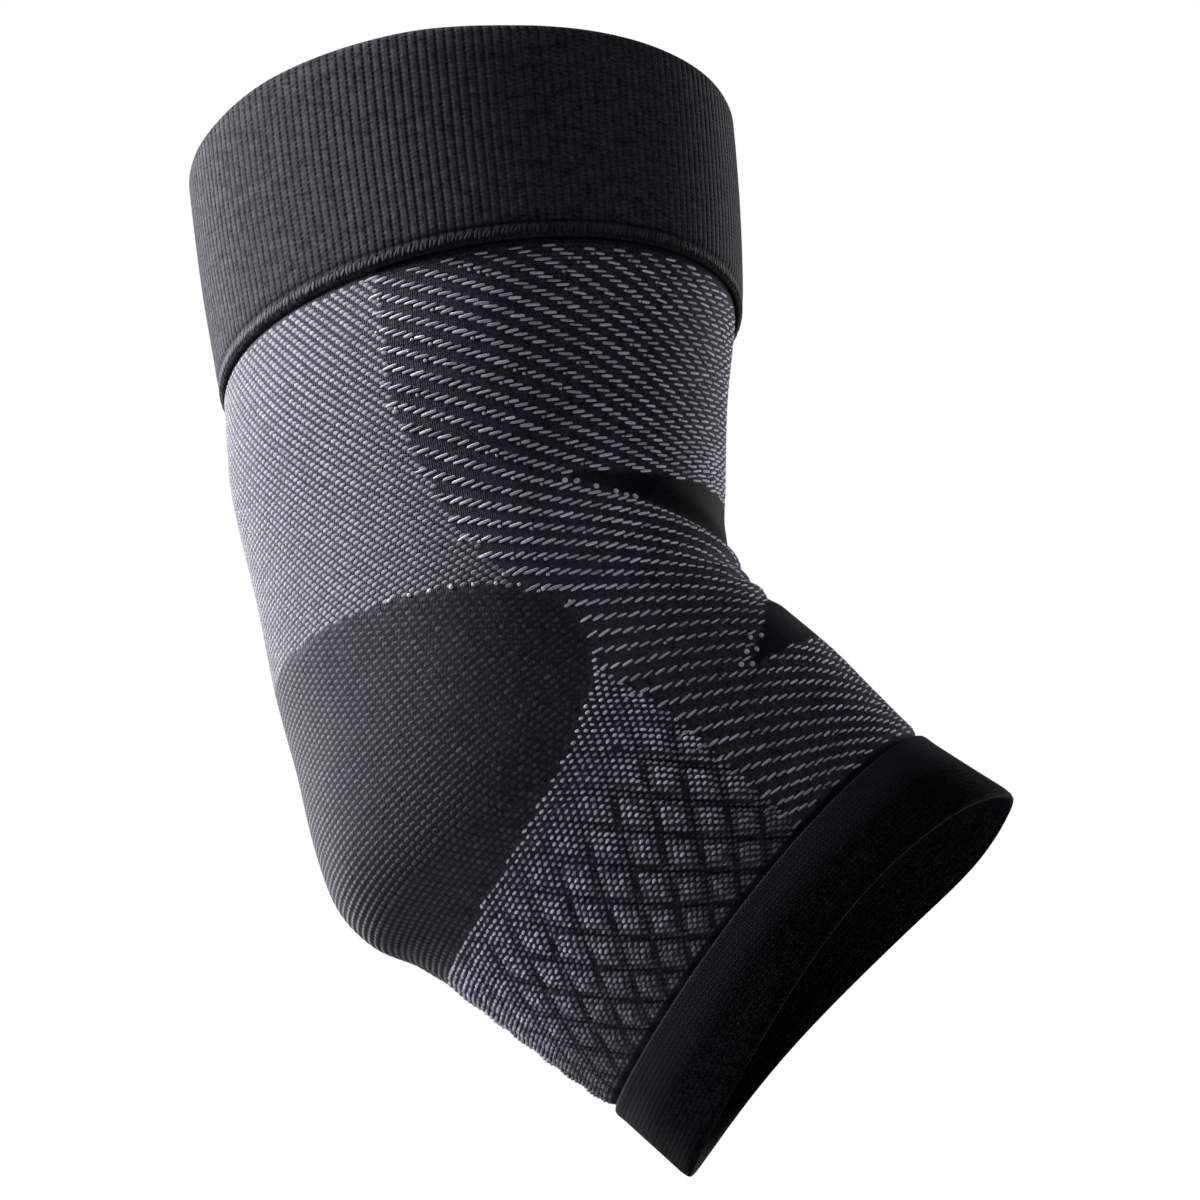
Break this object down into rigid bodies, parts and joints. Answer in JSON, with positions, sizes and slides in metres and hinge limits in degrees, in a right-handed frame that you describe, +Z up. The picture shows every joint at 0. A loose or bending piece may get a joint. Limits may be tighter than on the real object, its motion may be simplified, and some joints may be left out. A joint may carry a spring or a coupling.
{
  "type": "elbow bracing sleeve",
  "caption": "Knitted compression sleeve shaped for a bent elbow, with a wide ribbed upper cuff, a dark elbow patch, quilted forearm knit and a plain lower hem.",
  "frame": {"origin": "middle of the elbow joint, inside the hollow, where the two halves of the arm meet", "axes": "+Z up the upper arm to the wide cuff, +X out of the crook of the elbow, +Y across the arm"},
  "size_m": [0.1365, 0.103, 0.2083],
  "materials": {
    "upper_cuff": "ribbed double knit, matte",
    "sleeve_body": "two-colour jacquard knit, matte",
    "lower_cuff": "plain double knit, matte"
  },
  "bodies": {
    "root": {"upper_cuff": "upper_cuff", "sleeve_body": "sleeve_body", "lower_cuff": "lower_cuff"}
  },
  "joints": []
}
